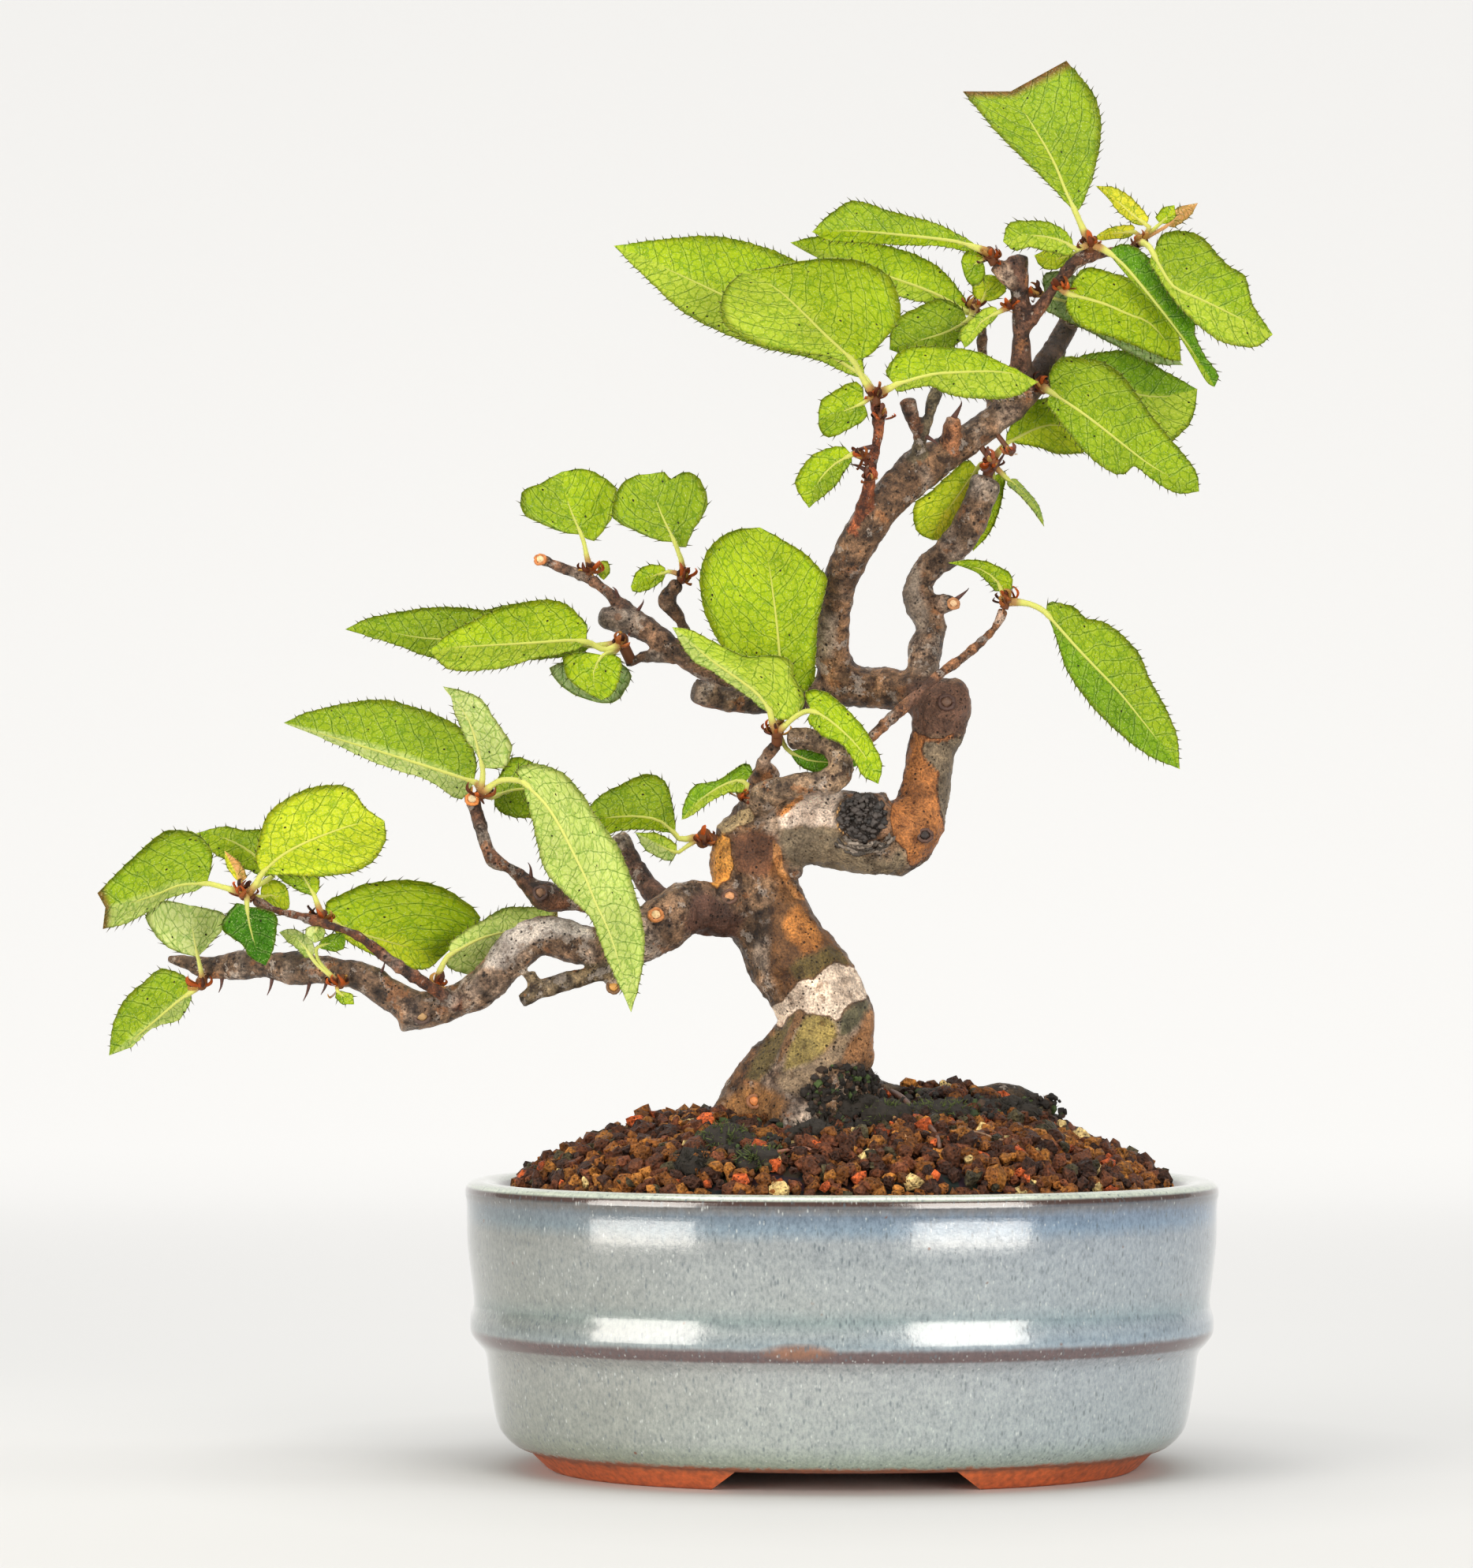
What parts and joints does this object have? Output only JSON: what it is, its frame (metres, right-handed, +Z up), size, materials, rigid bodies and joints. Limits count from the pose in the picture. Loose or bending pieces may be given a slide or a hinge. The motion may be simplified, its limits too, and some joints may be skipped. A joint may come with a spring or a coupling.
{
  "type": "potted bonsai tree",
  "caption": "Small quince tree with a bent trunk and toothed leaves, in an oval glazed pot filled with granular soil.",
  "frame": {"origin": "bottom centre of the whole object's box, on the ground", "axes": "+Z up the tree, +X to the right as seen from the front, +Y away from the front"},
  "size_m": [0.2174, 0.112, 0.2628],
  "materials": {
    "glaze": "speckled blue-grey glaze, bare clay feet",
    "soil": "loose baked clay grains",
    "bark": "flaking bark",
    "leaf": "satin leaf",
    "screen": "black plastic mesh"
  },
  "bodies": {
    "root": {"pot": "glaze", "soil": "soil", "tree": "bark", "screen_left": "screen", "screen_right": "screen", "low_tip": "leaf", "low_twig": "leaf", "low_twig_side": "leaf", "low_branch_front": "leaf", "elbow": "leaf", "left_riser": "leaf", "trunk_left": "leaf", "trunk_top": "leaf", "curl": "leaf", "middle_tip": "leaf", "middle_twig": "leaf", "middle_left": "leaf", "right_twig": "leaf", "right_branch_top": "leaf", "upper_left_twig": "leaf", "upper_left_side": "leaf", "upper_middle": "leaf", "stub_side": "leaf", "stub_back": "leaf", "stub_twig": "leaf", "stub_head": "leaf", "top": "leaf", "apex": "leaf", "trunk_right": "leaf"}
  },
  "joints": []
}
